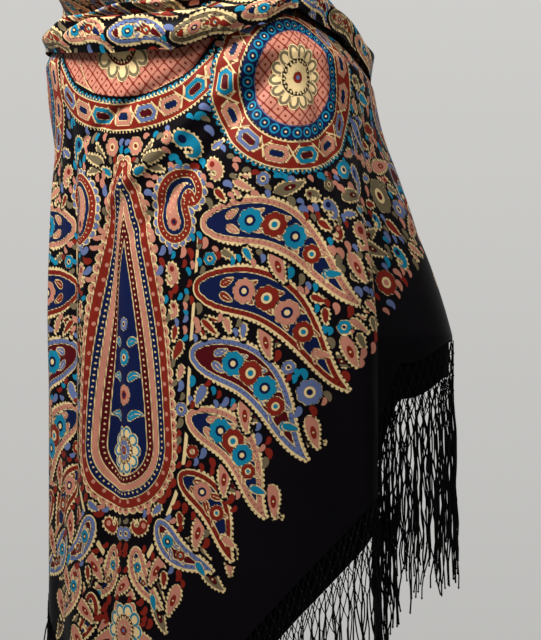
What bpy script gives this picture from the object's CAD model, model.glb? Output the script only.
"""The looks of a Russian shawl: fine cloth, its print and its knotted fringe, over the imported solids.

The surface functions are those of the solids. A place on the cloth is given by its run round the
section from the middle of the back, positive toward +X, and by its length below the crest.
"""

import math

import bpy
import numpy as np
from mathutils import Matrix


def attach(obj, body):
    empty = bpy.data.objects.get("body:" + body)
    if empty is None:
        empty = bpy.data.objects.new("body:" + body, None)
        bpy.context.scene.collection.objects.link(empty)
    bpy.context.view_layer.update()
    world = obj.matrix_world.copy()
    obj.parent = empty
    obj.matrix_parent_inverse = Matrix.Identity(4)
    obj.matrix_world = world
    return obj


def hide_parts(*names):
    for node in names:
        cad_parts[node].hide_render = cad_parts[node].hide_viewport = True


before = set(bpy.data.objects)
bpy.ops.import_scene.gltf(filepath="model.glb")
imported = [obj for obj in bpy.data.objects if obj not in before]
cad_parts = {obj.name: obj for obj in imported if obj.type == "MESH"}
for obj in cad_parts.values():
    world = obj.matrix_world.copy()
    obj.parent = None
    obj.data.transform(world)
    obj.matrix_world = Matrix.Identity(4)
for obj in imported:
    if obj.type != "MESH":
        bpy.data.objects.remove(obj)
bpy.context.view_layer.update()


def table(columns, rows):
    """Rows of values, each under the names of its columns."""
    return [dict(zip(columns.split(), row)) for row in rows]


# Sizes that the solids are made from
DEEPEST_HEM = 1.48 / math.sqrt(2) - 0.166
UNDER_SHOWS = 0.036
WALL = 0.0014
LEAST_GAP = 0.0004
HEM_GAP = 0.0022
NECK = {"width": 0.083, "back": 0.074, "front": 0.078}
BODY = {"width": 0.192, "back": 0.112, "front": 0.116}
CREST_HEIGHT = -0.025
CREST_RISE = 0.045
SHOULDER_DROP = {"back": 0.130, "front": 0.175}
SHOULDER_SLOPE = 0.90
ELBOW_REACH = 0.107
ELBOW_ANGLE = 120
ELBOW_SPREAD_BACK = 28
ELBOW_SPREAD_FRONT = 22
ELBOW_TOP = 0.100
ELBOW_END = 0.412
SETTLED_DROP = {"back": 0.80, "arm": 0.40}
PLEAT_START = 75
PLEAT_EDGE = 92
PLEAT_END = 100
PLEAT_FADES_BY = 128
PLEAT_RADIUS = 0.012
PLEAT_INNER_RADIUS = 0.009
PLEAT_STEP = 0.032
PLEAT_LIFT = {1: 0.015, -1: -0.010}
PLEAT_STEP_DROPS = (0.15, 0.23)
PLEAT_FOLD_DROPS = (0.20, 0.36)
FRONT_END = 172
HEM_RISE_PLEAT = 0.083
HEM_RISE_ARM = 0.038
HEM_RISE_FRONT = 0.110
FOLDS = table("angle spread height top", [
    (-62, 9, 0.009, 0.16),
    (-40, 10, 0.006, 0.14),
    (-14, 9, -0.007, 0.12),
    (14, 14, 0.005, 0.17),
    (52, 12, -0.005, 0.17),
    (138, 7, 0.010, 0.16),
    (153, 6, -0.009, 0.16),
    (165, 6, 0.008, 0.16),
    (-136, 7, 0.011, 0.16),
    (-150, 6, -0.008, 0.16),
    (-164, 6, 0.009, 0.16),
])
SWAGS = table("length height spread climb", [
    (0.140, 0.007, 0.017, 0.030),
    (0.195, 0.004, 0.022, 0.055),
])
TOP_WALL = 0.0030
TOP_RISE = 0.010
TOP_ROLL = 0.006
TOP_CLEAR = 0.0085
TOP_LENGTHS = table("angle length", [
    (-172, 0.165),
    (-100, 0.150),
    (-60, 0.137),
    (0, 0.150),
    (30, 0.147),
    (50, 0.135),
    (64, 0.124),
    (76, 0.110),
    (92, 0.124),
    (112, 0.142),
    (172, 0.165),
])
TOP_SWAGS = table("share height spread", [
    (0.58, 0.010, 0.11),
    (0.90, 0.006, 0.07),
])
TOP_HEM_CURL = 0.005
FRINGE_LENGTH = 0.205

# Steps that follow one half of the section closely
BACK_STEPS = 120
FRONT_STEPS = 120
PLEAT_STEPS = {"over": 14, "outer_turn": 16, "in": 8, "inner_turn": 16, "forward": 14}
PATH_STEPS = 220

# Grid steps of the cloth: close where the photograph shows the print, wider elsewhere
CLOSE_STEP = 0.0015
WIDE_STEP = 0.003
UNDER_STEP = 0.005
TOP_STEP = 0.0019
TOP_REACH = 0.252


def smooth(share):
    share = np.clip(share, 0.0, 1.0)
    return share * share * (3 - 2 * share)


def ramp(value, start, end):
    return smooth((value - start) / (end - start))


def ramp_straight(value, start, end):
    """A straight rise with its two corners rounded."""
    share = np.clip((value - start) / (end - start), 0.0, 1.0)
    return 0.75 * share + 0.25 * smooth(share)


def bump(distance, spread):
    return np.exp(-((distance / spread) ** 2))


def lengths_along(points):
    steps = np.linalg.norm(np.diff(points, axis=0), axis=-1)
    return np.concatenate([np.zeros((1,) + steps.shape[1:]), np.cumsum(steps, axis=0)])


def oval(size, angle):
    """Radius of a section that is deeper or shallower in front than behind."""
    depth = np.where(np.cos(angle) > 0, size["back"], size["front"])
    return 1 / np.sqrt((np.sin(angle) / size["width"]) ** 2 + (np.cos(angle) / depth) ** 2)


def elbow(angle):
    degrees = np.degrees(np.abs(angle)) - ELBOW_ANGLE
    spread = np.where(degrees < 0, ELBOW_SPREAD_BACK, ELBOW_SPREAD_FRONT)
    return ELBOW_REACH * bump(degrees, spread)


def section_point(angle, elbow_share):
    """Point of a plain section below the shoulders, at an angle from the middle of the back."""
    radius = oval(BODY, angle) + elbow(angle) * elbow_share
    return np.stack([radius * np.sin(angle), -radius * np.cos(angle)], axis=-1)


def section_normal(angle, elbow_share):
    tangent = section_point(angle + 0.01, elbow_share) - section_point(angle - 0.01, elbow_share)
    normal = np.stack([tangent[..., 1], -tangent[..., 0]], axis=-1)
    return normal / np.linalg.norm(normal, axis=-1, keepdims=True)


def pleat_path():
    """Way through the folded pleat, as angles and depths inside its outermost layer."""
    radius = BODY["width"] + elbow(math.radians(PLEAT_EDGE))
    turn_out = math.degrees(PLEAT_RADIUS / radius)
    turn_in = math.degrees(PLEAT_INNER_RADIUS / radius)
    path = [(PLEAT_START, 0.0)]
    for share in np.linspace(0, 1, PLEAT_STEPS["over"] + 1)[1:]:
        path.append((PLEAT_START + (PLEAT_EDGE - turn_out - PLEAT_START) * share, 0.0))
    for turn in np.linspace(0, math.pi / 2, PLEAT_STEPS["outer_turn"] + 1)[1:]:
        depth = PLEAT_RADIUS * (1 - math.cos(turn))
        path.append((PLEAT_EDGE - turn_out * (1 - math.sin(turn)), depth))
    straight = PLEAT_STEP - PLEAT_RADIUS - PLEAT_INNER_RADIUS
    for share in np.linspace(0, 1, PLEAT_STEPS["in"] + 1)[1:]:
        path.append((PLEAT_EDGE, PLEAT_RADIUS + straight * share))
    for turn in np.linspace(0, math.pi / 2, PLEAT_STEPS["inner_turn"] + 1)[1:]:
        depth = PLEAT_STEP - PLEAT_INNER_RADIUS * (1 - math.sin(turn))
        path.append((PLEAT_EDGE + turn_in * (1 - math.cos(turn)), depth))
    last = PLEAT_EDGE + turn_in
    for share in np.linspace(0, 1, PLEAT_STEPS["forward"] + 1)[1:]:
        path.append((last + (PLEAT_END - last) * share, PLEAT_STEP))
    run = lengths_along(np.array([(math.radians(angle) * radius, depth) for angle, depth in path]))
    return path[1:], run[1:] / run[-1]


def half_stations():
    """The way round one half, from the middle of the back to the front: for each column, its
    angle with the pleat laid flat, its angle with the pleat folded, how far it then lies inside
    the outermost layer, and how far it lies there with the pleat only begun."""
    flat = list(np.linspace(0, PLEAT_START, BACK_STEPS + 1))
    folded = list(flat)
    inset = [0.0] * len(flat)
    slope = [0.0] * len(flat)
    for (angle, depth), share in zip(*pleat_path()):
        flat.append(PLEAT_START + (PLEAT_END - PLEAT_START) * share)
        folded.append(angle)
        inset.append(depth)
        slope.append(PLEAT_STEP * share)
    front = list(np.linspace(PLEAT_END, FRONT_END, FRONT_STEPS + 1)[1:])
    steps = [PLEAT_STEP] * FRONT_STEPS
    flat, folded = np.radians(flat + front), np.radians(folded + front)
    return flat, folded, np.array(inset + steps), np.array(slope + steps)


def fold_height(angle, drop):
    """Height of the soft folds. They stop growing where the cloth is settled, above its hem."""
    behind = ramp(np.abs(angle), 0.0, math.radians(PLEAT_START))
    settled = SETTLED_DROP["back"] + (SETTLED_DROP["arm"] - SETTLED_DROP["back"]) * behind
    height = np.zeros(np.broadcast(angle, drop).shape)
    for fold in FOLDS:
        across = bump(np.degrees(angle) - fold["angle"], fold["spread"])
        height = height + fold["height"] * across * ramp(drop, fold["top"], settled)
    return height


def ring_point(side, stations, drop):
    """Point of the upper cloth's inner face at each column, at a drop below the origin."""
    flat, folded, folded_inset, flat_inset = stations
    pleat_step = ramp(drop, *PLEAT_STEP_DROPS)
    pleat_fold = ramp(drop, *PLEAT_FOLD_DROPS)
    angle = flat + (folded - flat) * pleat_fold
    inset = flat_inset + (folded_inset - flat_inset) * pleat_fold
    lift_back = PLEAT_LIFT[side] * ramp(flat, math.radians(15), math.radians(PLEAT_START))
    fades = ramp(flat, math.radians(PLEAT_END), math.radians(PLEAT_FADES_BY))
    stands = (lift_back - inset) * (1 - fades)
    elbow_share = ramp_straight(drop, ELBOW_TOP, ELBOW_END)
    stands = stands * pleat_step + fold_height(side * angle, drop)
    flat_point = section_point(angle, elbow_share)
    flat_point = flat_point + section_normal(angle, elbow_share) * stands[..., None]
    height = -drop * np.ones_like(angle)
    return np.stack([side * flat_point[..., 0], flat_point[..., 1], height], axis=-1)


def crest_point(side, angle):
    radius = oval(NECK, angle)
    height = CREST_HEIGHT + CREST_RISE * np.cos(angle)
    return np.stack([side * radius * np.sin(angle), -radius * np.cos(angle), height], axis=-1)


def shoulder_drop(angle):
    """How far below the origin the cloth starts to hang: lower in front of the arms."""
    lower = SHOULDER_DROP["front"] - SHOULDER_DROP["back"]
    return SHOULDER_DROP["back"] + lower * ramp(np.abs(angle), math.radians(75), math.radians(130))


def shoulder_path(crest, edge, turns):
    """From the crest, down over the shoulder, to the edge where the cloth starts to hang."""
    out = np.sin(turns)[:, None, None]
    down = SHOULDER_SLOPE * out + (1 - SHOULDER_SLOPE) * (1 - np.cos(turns)[:, None, None])
    flat = crest[..., :2] + (edge[..., :2] - crest[..., :2]) * out
    height = crest[..., 2:] + (edge[..., 2:] - crest[..., 2:]) * down
    return np.concatenate([flat, height], axis=-1)


def swag_height(angle, length):
    """Swags hang across the back and climb to the shoulders."""
    height = 0.0
    for swag in SWAGS:
        middle = swag["length"] - swag["climb"] * ramp(np.abs(angle), 0.2, 1.3)
        fades = 1 - ramp(np.abs(angle), 1.1, 1.7)
        height = height + swag["height"] * fades * bump(length - middle, swag["spread"])
    return height


def hem_lengths(run, flat, run_hidden, run_behind):
    """Length of the upper cloth from crest to hem. Behind, the hem rises as fast as it runs, and
    faster where it is folded away inside the pleat."""
    arm = ramp(flat, math.radians(PLEAT_END), math.radians(ELBOW_ANGLE))
    front = ramp(flat, math.radians(ELBOW_ANGLE - 2), math.radians(FRONT_END))
    beyond = DEEPEST_HEM - run_behind - HEM_RISE_PLEAT - HEM_RISE_ARM * arm - HEM_RISE_FRONT * front
    behind = DEEPEST_HEM - run - HEM_RISE_PLEAT * ramp(run, run_hidden, run_behind)
    return np.where(run > run_behind, beyond, behind)


class HalfCloth:
    """The upper cloth's inner face over one half, at chosen runs from the middle of the back."""

    def __init__(self, side, runs):
        self.side = side
        dense = half_stations()
        run = lengths_along(ring_point(side, dense, 2.0))
        run_hidden = run[BACK_STEPS + PLEAT_STEPS["over"] + PLEAT_STEPS["outer_turn"]]
        run_behind = run[BACK_STEPS + sum(PLEAT_STEPS.values())]
        stations = tuple(np.interp(runs, run, values) for values in dense)
        self.angle = stations[0]
        self.hem = hem_lengths(runs, self.angle, run_hidden, run_behind)
        self.end = run[-1]
        crest = crest_point(side, self.angle)
        starts = shoulder_drop(self.angle)
        edge = ring_point(side, stations, starts)
        paths = list(shoulder_path(crest, edge, np.linspace(0, math.pi / 2, 60)))
        for drop in np.linspace(starts, DEEPEST_HEM + UNDER_SHOWS, PATH_STEPS)[1:]:
            paths.append(ring_point(side, stations, drop))
        self.paths = np.array(paths)
        self.lengths = lengths_along(self.paths)

    def points(self, length):
        """Points at lengths below the crest, given as rows for each column."""
        length = np.broadcast_to(length, (len(length), len(self.angle)))
        found = np.empty(length.shape + (3,))
        for column in range(len(self.angle)):
            along = self.lengths[:, column]
            for axis in range(3):
                found[:, column, axis] = np.interp(length[:, column], along, self.paths[:, column, axis])
        away = [self.side * np.sin(self.angle), -np.cos(self.angle), np.full_like(self.angle, 0.4)]
        outward = np.stack(away, -1)
        outward /= np.linalg.norm(outward, axis=-1, keepdims=True)
        return found + outward * swag_height(self.angle, length)[..., None]


def half_run(side):
    return HalfCloth(side, np.array([0.0])).end


def cloth_columns(runs):
    """The halves that hold the signed runs, in their order."""
    halves = []
    if (runs < 0).any():
        halves.append(HalfCloth(-1, -runs[runs < 0]))
    if (runs >= 0).any():
        halves.append(HalfCloth(1, runs[runs >= 0]))
    return halves


def grid_normals(points):
    """Unit normals of a grid of rows and columns, toward the outside."""
    along = np.gradient(points, axis=0)
    across = np.gradient(points, axis=1)
    normal = np.cross(along, across)
    return normal / np.linalg.norm(normal, axis=-1, keepdims=True)


# Small soft creases that the solids leave out: a ridge or trough along a line on the cloth
CREASES = table("run start end lean width height", [
    (-0.028, 0.24, 0.66, 0.012, 0.016, -0.0070),
    (-0.060, 0.20, 0.80, 0.02, 0.016, 0.0060),
    (-0.100, 0.16, 0.74, 0.02, 0.013, -0.0070),
    (-0.160, 0.20, 0.60, 0.04, 0.014, 0.0045),
    (-0.240, 0.18, 0.55, 0.02, 0.014, -0.0045),
    (0.060, 0.30, 0.86, -0.06, 0.020, -0.0030),
    (0.135, 0.20, 0.60, 0.10, 0.018, 0.0030),
    (0.190, 0.24, 0.66, 0.08, 0.014, -0.0034),
    (0.225, 0.22, 0.58, 0.06, 0.010, 0.0030),
    (0.165, 0.13, 0.33, -0.23, 0.016, 0.0075),
    (0.185, 0.14, 0.36, -0.20, 0.013, -0.0060),
    (0.145, 0.12, 0.25, -0.25, 0.016, -0.0060),
    (0.215, 0.13, 0.30, 0.05, 0.012, -0.0030),
    (0.245, 0.13, 0.34, 0.03, 0.012, 0.0030),
    (0.395, 0.20, 0.46, 0.10, 0.012, -0.0036),
    (0.440, 0.18, 0.45, 0.06, 0.011, 0.0032),
    (0.520, 0.17, 0.42, 0.04, 0.011, -0.0032),
    (-0.400, 0.20, 0.46, -0.08, 0.012, -0.0036),
    (-0.450, 0.18, 0.45, -0.05, 0.011, 0.0032),
    (-0.520, 0.17, 0.42, -0.04, 0.011, -0.0032),
])


def crease_height(run, length):
    """Height of the small creases at places given by arrays of runs and lengths."""
    height = np.zeros(np.broadcast(run, length).shape)
    for crease in CREASES:
        share = (length - crease["start"]) / (crease["end"] - crease["start"])
        middle = crease["run"] + crease["lean"] * np.clip(share, 0, 1) ** 1.3
        fades = smooth(share * 4) * smooth((1 - share) * 3)
        height += crease["height"] * fades * bump(run - middle, crease["width"])
    return height


def trimmed_rows(hem, step):
    """For each column, the first row at or below its hem."""
    return np.ceil(hem / step - 1e-6).astype(int)


def trim(values, hem, step, last):
    """Moves each column's last row of values to the hem itself."""
    columns = np.arange(len(hem))
    share = hem / step - (last - 1)
    if values.ndim == 3:
        share = share[:, None]
    above = values[last - 1, columns]
    below = values[last, columns]
    values[last, columns] = above + (below - above) * share
    return values


def grid_mesh(name, points, last, fields):
    """A mesh over the rows of each column down to its last row, with a number field for each name."""
    rows, columns = points.shape[:2]
    row_of = np.minimum(np.arange(rows)[:, None], last[None, :])
    corner = row_of * columns + np.arange(columns)[None, :]
    used = np.unique(corner)
    number = np.full(rows * columns, -1)
    number[used] = np.arange(len(used))
    corner = number[corner]
    quads = np.stack([corner[:-1, :-1], corner[1:, :-1], corner[1:, 1:], corner[:-1, 1:]], -1)
    quads = quads.reshape(-1, 4)
    same_left = quads[:, 0] == quads[:, 1]
    same_right = quads[:, 2] == quads[:, 3]
    faces = quads[~same_left & ~same_right].tolist()
    faces += quads[same_left & ~same_right][:, [0, 2, 3]].tolist()
    faces += quads[same_right & ~same_left][:, [0, 1, 2]].tolist()
    mesh = bpy.data.meshes.new(name)
    mesh.from_pydata(points.reshape(-1, 3)[used].tolist(), [], faces)
    for field, values in fields.items():
        attribute = mesh.attributes.new(field, "FLOAT", "POINT")
        attribute.data.foreach_set("value", values.reshape(-1)[used].astype(np.float32))
    mesh.shade_smooth()
    obj = bpy.data.objects.new(name, mesh)
    bpy.context.scene.collection.objects.link(obj)
    return obj


# The print

FAR = 0.004
COLOURS = ["cream", "brick", "wine", "salmon", "turquoise", "lilac", "navy", "olive"]


class Sheet:
    """Printed colours over a grid of cloth, as signed distances to each colour's edge."""

    def __init__(self, across, down):
        self.across = across
        self.down = down
        self.step = across[1] - across[0]
        self.least = 0.56 * self.step
        self.fields = np.full((len(COLOURS), len(down), len(across)), -FAR, dtype=np.float32)

    def window(self, low, high):
        columns = slice(*np.searchsorted(self.across, (low[0] - FAR, high[0] + FAR)))
        rows = slice(*np.searchsorted(self.down, (low[1] - FAR, high[1] + FAR)))
        x, y = np.meshgrid(self.across[columns], self.down[rows])
        return rows, columns, x, y

    def paint(self, colour, shape, inset=0.0, within=None):
        """Paints a shape, drawn in by an inset, or only where another shape holds it too."""
        rows, columns, x, y = self.window(*shape.box)
        if x.size == 0:
            return
        distance = shape.distance(x, y) - inset
        if within is not None:
            distance = np.minimum(distance, within.distance(x, y))
        if distance.max() < -0.002:
            return
        distance = np.clip(distance, -FAR, FAR).astype(np.float32)
        part = self.fields[:, rows, columns]
        np.minimum(part, -distance, out=part)
        if colour != "black":
            chosen = part[COLOURS.index(colour)]
            np.maximum(chosen, distance, out=chosen)


class Stroke:
    """A line of varying width through points, each with its radius."""

    def __init__(self, points, radii):
        self.points = np.asarray(points, dtype=float)
        self.radii = np.broadcast_to(np.asarray(radii, dtype=float), (len(self.points),))
        grown = self.radii[:, None]
        self.box = ((self.points - grown).min(0), (self.points + grown).max(0))

    def distance(self, x, y):
        best = np.full(x.shape, -1.0)
        for index in range(len(self.points) - 1):
            start, end = self.points[index], self.points[index + 1]
            along = end - start
            share = ((x - start[0]) * along[0] + (y - start[1]) * along[1]) / max(along @ along, 1e-12)
            share = np.clip(share, 0.0, 1.0)
            away = np.hypot(x - start[0] - along[0] * share, y - start[1] - along[1] * share)
            radius = self.radii[index] + (self.radii[index + 1] - self.radii[index]) * share
            best = np.maximum(best, radius - away)
        return best

    def edge(self, inset=0.0):
        """Points round the outline, drawn in by an inset."""
        along = np.gradient(self.points, axis=0)
        along /= np.maximum(np.linalg.norm(along, axis=1, keepdims=True), 1e-9)
        normal = np.stack([along[:, 1], -along[:, 0]], axis=1)
        reach = np.maximum(self.radii - inset, 0.0)[:, None]
        first, last = self.points[0], self.points[-1]
        cap = []
        turn_from = math.atan2(-normal[0, 1], -normal[0, 0])
        for turn in np.linspace(0, math.pi, 9)[1:-1]:
            angle = turn_from + turn
            cap.append(first + reach[0] * np.array([math.cos(angle), math.sin(angle)]))
        one = self.points + normal * reach
        other = self.points - normal * reach
        if (cap[4] - first) @ along[0] > 0:
            cap = [2 * first - point for point in cap][::-1]
        return np.concatenate([other[::-1], np.array(cap), one, last[None]])


class Disc:
    def __init__(self, middle, radius):
        self.middle = np.asarray(middle, dtype=float)
        self.radius = radius
        self.box = (self.middle - radius, self.middle + radius)

    def distance(self, x, y):
        return self.radius - np.hypot(x - self.middle[0], y - self.middle[1])


class Ellipse:
    """An ellipse with its long axis at an angle."""

    def __init__(self, middle, half_long, half_wide, angle=0.0):
        self.middle = np.asarray(middle, dtype=float)
        self.half_long = half_long
        self.half_wide = half_wide
        self.cos, self.sin = math.cos(angle), math.sin(angle)
        self.box = (self.middle - half_long, self.middle + half_long)

    def distance(self, x, y):
        x, y = x - self.middle[0], y - self.middle[1]
        u = (x * self.cos + y * self.sin) / self.half_long
        v = (y * self.cos - x * self.sin) / self.half_wide
        size = np.maximum(np.hypot(u, v), 1e-6)
        slope = np.hypot(u / self.half_long, v / self.half_wide) / size
        return (1 - size) / np.maximum(slope, 1e-6)


class Convex:
    """A convex polygon with its corners in order."""

    def __init__(self, corners):
        self.corners = np.asarray(corners, dtype=float)
        self.box = (self.corners.min(0), self.corners.max(0))
        middle = self.corners.mean(0)
        self.sides = []
        for index in range(len(self.corners)):
            start, end = self.corners[index], self.corners[(index + 1) % len(self.corners)]
            normal = np.array([start[1] - end[1], end[0] - start[0]])
            normal /= np.linalg.norm(normal)
            if (middle - start) @ normal < 0:
                normal = -normal
            self.sides.append((start, normal))

    def distance(self, x, y):
        best = np.full(x.shape, 1.0)
        for start, normal in self.sides:
            best = np.minimum(best, (x - start[0]) * normal[0] + (y - start[1]) * normal[1])
        return best


def turned(vector, angle):
    cos, sin = math.cos(angle), math.sin(angle)
    return np.array([vector[0] * cos - vector[1] * sin, vector[0] * sin + vector[1] * cos])


def even_points(line, pitch, closed=False):
    """Points an even pitch apart along a line, and the line's direction at each."""
    line = np.asarray(line, dtype=float)
    if closed:
        line = np.concatenate([line, line[:1]])
    run = lengths_along(line)
    count = max(int(round(run[-1] / pitch)), 2)
    places = (np.arange(count) + 0.5) * run[-1] / count
    points = np.stack([np.interp(places, run, line[:, axis]) for axis in (0, 1)], axis=1)
    ahead = np.stack([np.interp(places + 0.001, run, line[:, axis]) for axis in (0, 1)], axis=1)
    behind = np.stack([np.interp(places - 0.001, run, line[:, axis]) for axis in (0, 1)], axis=1)
    direction = ahead - behind
    return points, np.arctan2(direction[:, 1], direction[:, 0])


def bent_line(start, heading, length, bends, count=24):
    """A line that starts with a heading and turns by each of its bends in equal stretches."""
    bends = np.interp(np.linspace(0, len(bends) - 1, count), np.arange(len(bends)), bends)
    point, angle = np.asarray(start, dtype=float), heading
    points = [point]
    for bend in bends:
        angle += bend * len(bends) / count / 4
        point = point + length / count * np.array([math.cos(angle), math.sin(angle)])
        points.append(point)
    return np.array(points)


def beads(sheet, line, pitch, radius, colour="cream", closed=False):
    """A row of small dots along a line."""
    for point in even_points(line, pitch, closed)[0]:
        sheet.paint(colour, Disc(point, max(radius, sheet.least)))


def flower(sheet, middle, radius, petals, colours, turn=0.0):
    """A small flower: petals round a middle, each colour from the outside in."""
    outline, petal, ring, heart = colours
    reach = radius * math.pi / petals * 0.95
    for index in range(petals):
        angle = turn + 2 * math.pi * index / petals
        place = middle + (radius - reach) * np.array([math.cos(angle), math.sin(angle)])
        sheet.paint(outline, Disc(place, reach + 0.0008))
    for index in range(petals):
        angle = turn + 2 * math.pi * index / petals
        place = middle + (radius - reach) * np.array([math.cos(angle), math.sin(angle)])
        sheet.paint(petal, Disc(place, reach))
    sheet.paint(ring, Disc(middle, radius * 0.45))
    sheet.paint(heart, Disc(middle, radius * 0.24))


def rosette(sheet, middle, radius, petals, colours):
    """A large round flower with rings of petals and beads."""
    outer, inner, ground = colours
    reach = radius * math.pi / petals
    for index in range(petals):
        angle = 2 * math.pi * index / petals
        direction = np.array([math.cos(angle), math.sin(angle)])
        petal = Ellipse(middle + direction * radius * 0.80, radius * 0.27, reach * 0.84, angle)
        sheet.paint("cream", petal, -0.0014)
        sheet.paint(outer, petal)
        sheet.paint("cream", petal, radius * 0.09)
    sheet.paint("cream", Disc(middle, radius * 0.66))
    sheet.paint(ground, Disc(middle, radius * 0.62))
    beads(sheet, circle(middle, radius * 0.54), 0.0042, 0.0012, closed=True)
    for index in range(petals):
        angle = 2 * math.pi * (index + 0.5) / petals
        direction = np.array([math.cos(angle), math.sin(angle)])
        petal = Ellipse(middle + direction * radius * 0.34, radius * 0.13, reach * 0.45, angle)
        sheet.paint("cream", petal, -0.0008)
        sheet.paint(inner, petal)
    sheet.paint("cream", Disc(middle, radius * 0.23))
    sheet.paint("brick", Disc(middle, radius * 0.19))
    sheet.paint("lilac", Disc(middle, radius * 0.08))


def circle(middle, radius, count=48):
    angles = np.linspace(0, 2 * math.pi, count, endpoint=False)
    return np.stack([middle[0] + radius * np.cos(angles), middle[1] + radius * np.sin(angles)], axis=1)


def leaf_shape(base, heading, length, bends, width, blunt=0.62):
    """A leaf that swells from its base and narrows to its tip."""
    line = bent_line(base, heading, length, bends)
    share = np.linspace(0, 1, len(line))
    radii = width * np.sin(math.pi * share ** blunt) ** 0.8 * (1 - 0.25 * share) + 0.0006
    radii[-1] = 0.0004
    return Stroke(line, radii)


def small_leaf(sheet, base, heading, length, bend, width, colour, vein="cream"):
    """A leaf with a pale outline and one vein."""
    leaf = leaf_shape(base, heading, length, [bend, bend], width)
    sheet.paint("cream", leaf, -max(0.0012, 0.7 * sheet.least))
    sheet.paint(colour, leaf)
    if vein:
        middle = leaf.points[3:-4]
        sheet.paint(vein, Stroke(middle, max(0.0006, 0.6 * sheet.least)))


def beaded_edge(sheet, leaf, pitch=0.0052, radius=0.0020):
    """A pale edge with a row of beads standing out of it."""
    for point in even_points(leaf.edge(-0.0005), pitch)[0]:
        sheet.paint("cream", Disc(point, radius))
    sheet.paint("cream", leaf)


def bud_leaf(sheet, base, heading, length, bend, width, colours):
    """A small leaf with a beaded edge, a body and a darker bud in its middle."""
    body, bud = colours
    leaf = leaf_shape(base, heading, length, [bend, -bend], width)
    sheet.paint("black", leaf, -0.0030)
    beaded_edge(sheet, leaf, 0.0046, 0.0014)
    sheet.paint(body, leaf, 0.0012)
    if width > 0.0065:
        middle = leaf.points[len(leaf.points) * 45 // 100]
        ahead = leaf.points[len(leaf.points) * 60 // 100] - middle
        sheet.paint(bud, Ellipse(middle, width * 0.95, width * 0.40, math.atan2(ahead[1], ahead[0])))
        sheet.paint("cream", Disc(middle, 0.0013))


def plume(sheet, base, heading, length, bends, width, colours, blossoms=3):
    """A large curved leaf with a beaded edge, a coloured border and a row of blossoms inside."""
    outer, body, petal = colours
    leaf = leaf_shape(base, heading, length, bends, width)
    sheet.paint("black", leaf, -0.0046)
    beaded_edge(sheet, leaf)
    sheet.paint(outer, leaf, 0.0016)
    beads(sheet, leaf.edge(0.0038), 0.0056, 0.0009, "wine")
    sheet.paint("cream", leaf, 0.0060)
    sheet.paint(body, leaf, 0.0072)
    count = len(leaf.points) - 1
    for share in np.linspace(0.16, 0.90, 2 * blossoms + 3)[::2]:
        at = int(share * count)
        ahead = leaf.points[min(at + 1, count)] - leaf.points[at - 1]
        way = math.atan2(ahead[1], ahead[0])
        room = leaf.radii[at] - 0.0080
        if room < 0.0022:
            continue
        for tilt in (-1, 1):
            place = leaf.points[at] + turned((0.001, tilt * min(room * 0.55, 0.005)), way)
            reach, wide = min(room * 1.4, 0.013), min(room * 0.26, 0.0030)
            small_leaf(sheet, place, way + tilt * 0.5, reach, 0.0, wide, outer)
    for index, place in enumerate(np.linspace(0.25, 0.76, blossoms)):
        at = int(place * count)
        room = leaf.radii[at] - 0.0074
        if room < 0.0032:
            continue
        hues = ("cream", "brick", "cream", "turquoise") if index % 2 else ("cream", petal, "navy", "cream")
        flower(sheet, leaf.points[at], min(room, 0.0125), 8, hues, turn=heading)
    tip = int(0.90 * count)
    small_leaf(sheet, leaf.points[tip - 3], heading + sum(bends) / 5, 0.014, 0.0, 0.0030, petal, None)


def paisley(sheet, middle, radius, heading, length, bends, colours):
    """A round-headed paisley whose tail bends over, filled with nested outlines."""
    line = bent_line(middle, heading, length, bends, 40)
    share = np.linspace(0, 1, len(line))
    radii = radius * (1 - share) ** 0.75 * (1 + 0.25 * np.sin(math.pi * share)) + 0.0012
    body = Stroke(line, radii)
    sheet.paint("black", body, -0.0045)
    for point in even_points(body.edge(-0.0004), 0.0088)[0]:
        sheet.paint("cream", Disc(point, 0.0050))
    for point in even_points(body.edge(-0.0004), 0.0088)[0]:
        sheet.paint(colours[0], Disc(point, 0.0036))
    sheet.paint("cream", body)
    inset = 0.0014
    widths = [0.0075, 0.0050, 0.0085, 0.0045]
    for index, colour in enumerate(colours[1:5]):
        sheet.paint(colour, body, inset)
        if index % 2 == 0:
            beads(sheet, body.edge(inset + widths[index] / 2), 0.0056, 0.0011)
        inset += widths[index]
        if radius > inset:
            sheet.paint("cream", body, inset - 0.0006)
            inset += 0.0006
    if radius > inset + 0.006:
        sheet.paint(colours[5], body, inset)


def tapered_drop(middle, top, radius):
    """A straight upright drop, round below and drawn to a point above."""
    share = np.linspace(0, 1, 30)
    line = np.stack([middle[0] + 0 * share, middle[1] + (top - middle[1]) * share], axis=1)
    radii = radius * (1 - share) ** 0.62 * (1 + 0.10 * np.sin(math.pi * share)) + 0.0010
    return Stroke(line, radii)


# Where the print's parts lie, by run from the middle of the back and length below the crest

def hem_distance(x, y):
    """Distance in from the nearer slanting edge of the square."""
    return (DEEPEST_HEM - y - np.abs(x)) / math.sqrt(2)


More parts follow.
